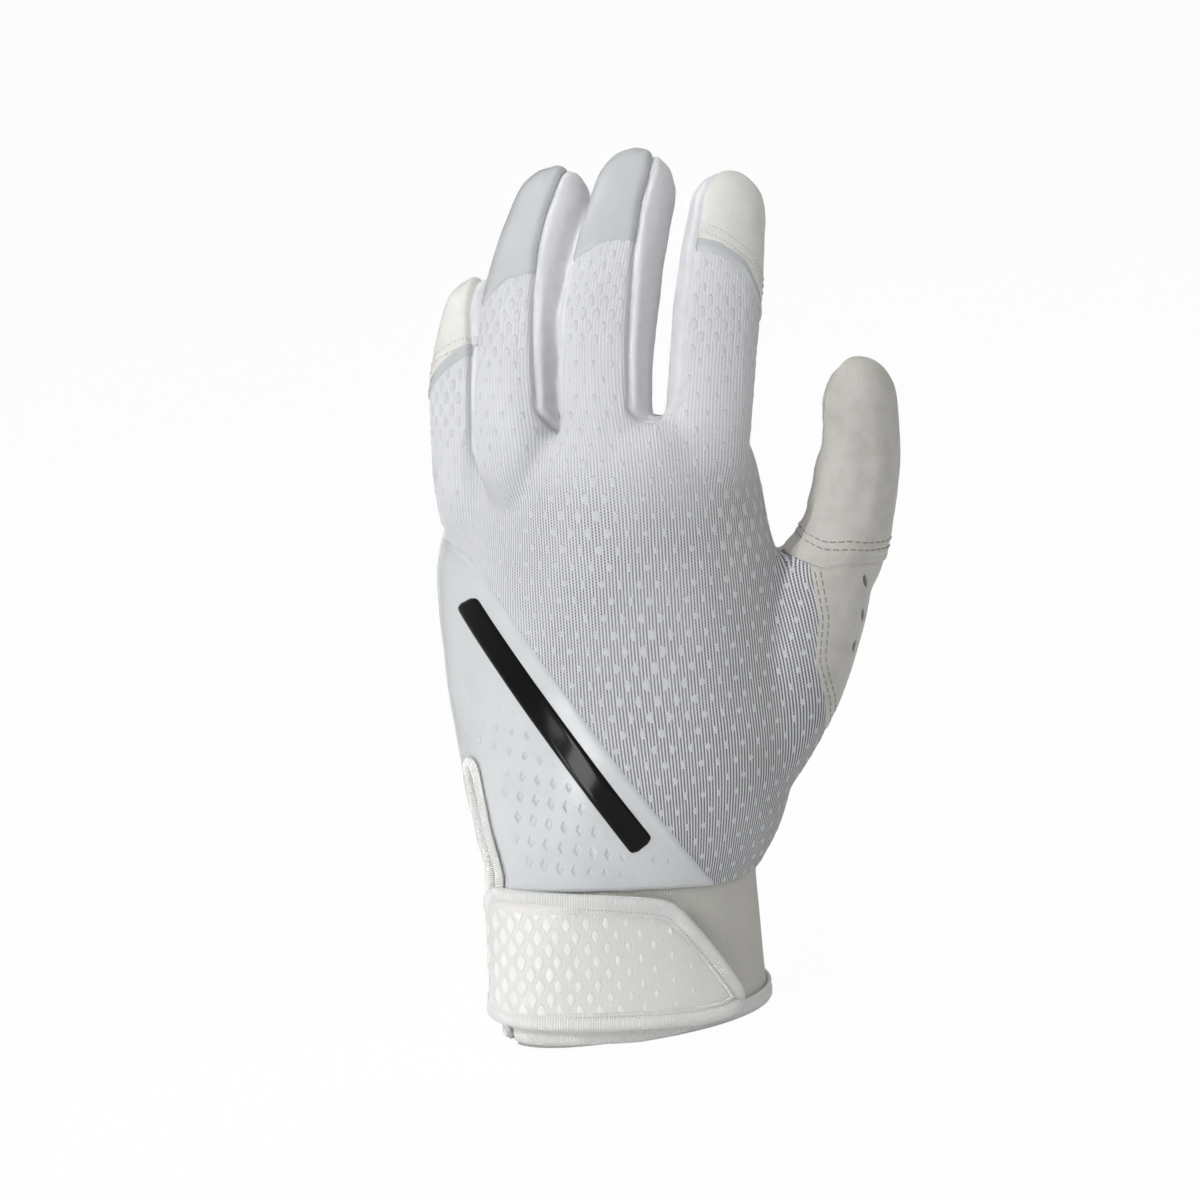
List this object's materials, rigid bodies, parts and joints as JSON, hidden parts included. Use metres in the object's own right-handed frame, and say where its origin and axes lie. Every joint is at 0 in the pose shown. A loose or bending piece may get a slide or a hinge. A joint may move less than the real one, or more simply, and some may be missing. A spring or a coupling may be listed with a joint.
{
  "type": "batting glove",
  "caption": "Left-hand batting glove, worn shape: hollow sewn hand with knit back, leather palm, bonded film, flexing fingers and thumb, slit cuff and closing strap.",
  "frame": {"origin": "middle of the glove's bounding box, on the plane that the cuff hem stands on", "axes": "+Z from the hem to the fingertips, -Y out of the back of the hand, +X to the thumb side"},
  "size_m": [0.1186, 0.0654, 0.2183],
  "materials": {
    "back_knit": "ribbed white knit",
    "side_knit": "smooth stretch knit",
    "palm_leather": "soft sheepskin",
    "tip_leather": "smooth leather",
    "bonded_film": "satin film",
    "black_film": "glossy film",
    "cuff_elastic": "elastic knit",
    "binding_tape": "ribbed tape",
    "strap_synthetic": "matt synthetic",
    "hook_and_loop": "hook and loop"
  },
  "bodies": {
    "hand": {"back_knit": "back_knit", "palm_leather": "palm_leather", "fourchette_little_ring": "side_knit", "fourchette_ring_middle": "side_knit", "fourchette_middle_index": "side_knit", "thumb_base_panel": "palm_leather", "wrist_film": "bonded_film", "wrist_stripe": "black_film", "cuff_band": "cuff_elastic", "hem_binding": "binding_tape", "slit_binding": "binding_tape", "loop_patch": "hook_and_loop", "strap_anchor": "strap_synthetic"},
    "index_finger": {"index_back": "back_knit", "index_palm": "palm_leather", "index_gusset_middle_side": "side_knit", "index_tip": "tip_leather", "index_film_band": "bonded_film"},
    "middle_finger": {"middle_back": "back_knit", "middle_palm": "palm_leather", "middle_gusset_index_side": "side_knit", "middle_gusset_ring_side": "side_knit", "middle_film_cap": "bonded_film"},
    "ring_finger": {"ring_back": "back_knit", "ring_palm": "palm_leather", "ring_gusset_middle_side": "side_knit", "ring_gusset_little_side": "side_knit", "ring_film_cap": "bonded_film"},
    "little_finger": {"little_back": "back_knit", "little_palm": "palm_leather", "little_gusset_ring_side": "side_knit", "little_tip": "tip_leather", "little_film_band": "bonded_film"},
    "thumb": {"thumb_back": "palm_leather", "thumb_palm": "palm_leather"},
    "strap": {"strap_panel": "strap_synthetic", "strap_binding": "binding_tape", "hook_patch": "hook_and_loop"}
  },
  "joints": [
    {"name": "index_flex", "type": "hinge", "parent": "hand", "child": "index_finger", "pos_m": [0.01941, 0.00565, 0.17168], "axis": [-0.9362, 0.3407, 0.0863], "range_deg": [0, 75]},
    {"name": "middle_flex", "type": "hinge", "parent": "hand", "child": "middle_finger", "pos_m": [-0.00603, 0.00605, 0.17621], "axis": [-0.9223, 0.3726, 0.1027], "range_deg": [0, 75]},
    {"name": "ring_flex", "type": "hinge", "parent": "hand", "child": "ring_finger", "pos_m": [-0.02756, 0.0133, 0.17316], "axis": [-0.9077, 0.4041, 0.1128], "range_deg": [0, 75]},
    {"name": "little_flex", "type": "hinge", "parent": "hand", "child": "little_finger", "pos_m": [-0.0424, 0.02518, 0.15635], "axis": [-0.848, 0.5299, -0.0111], "range_deg": [0, 75]},
    {"name": "thumb_flex", "type": "hinge", "parent": "hand", "child": "thumb", "pos_m": [0.03626, 0.01416, 0.11659], "axis": [-0.7019, -0.6778, 0.2187], "range_deg": [0, 35]},
    {"name": "strap_open", "type": "hinge", "parent": "hand", "child": "strap", "pos_m": [-0.0436, 0.01439, 0.0213], "axis": [0, 0, -1], "range_deg": [0, 140]}
  ]
}
